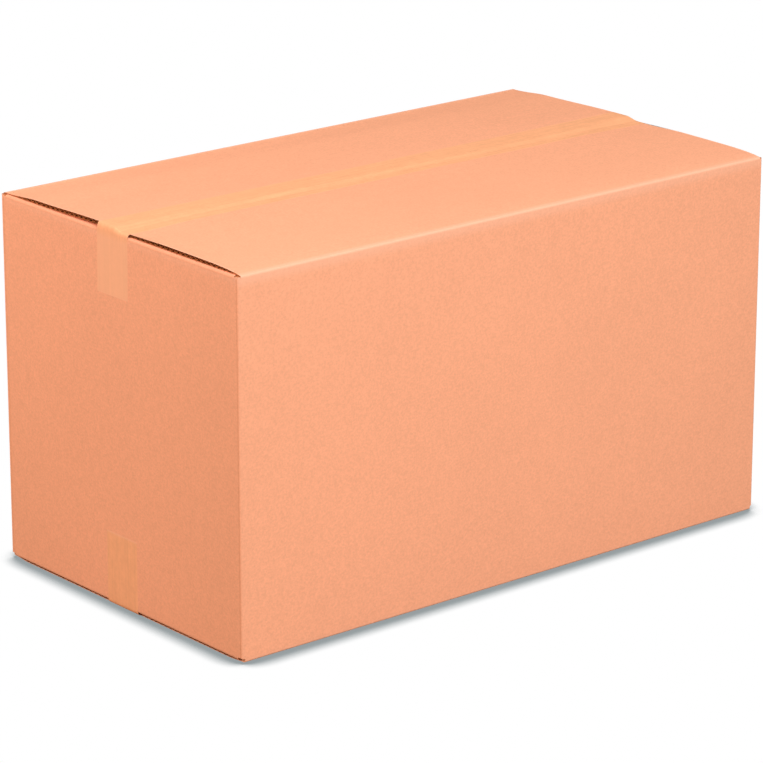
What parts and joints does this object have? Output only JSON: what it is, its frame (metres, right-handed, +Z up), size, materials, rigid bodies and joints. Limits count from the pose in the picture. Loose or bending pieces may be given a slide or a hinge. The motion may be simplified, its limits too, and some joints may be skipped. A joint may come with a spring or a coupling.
{
  "type": "closed cardboard box",
  "caption": "Long rectangular shipping carton of corrugated board, flaps shut and held by clear tape along the top and bottom seams.",
  "frame": {"origin": "middle of the footprint, on the surface that the carton stands on", "axes": "+X along the length, +Y across the width towards the wall with the raw glued edge, +Z up"},
  "size_m": [0.6902, 0.39, 0.3962],
  "materials": {
    "board": "matte",
    "tape": "satin"
  },
  "bodies": {
    "root": {"carton": "board", "top_tape": "tape", "bottom_tape": "tape"}
  },
  "joints": []
}
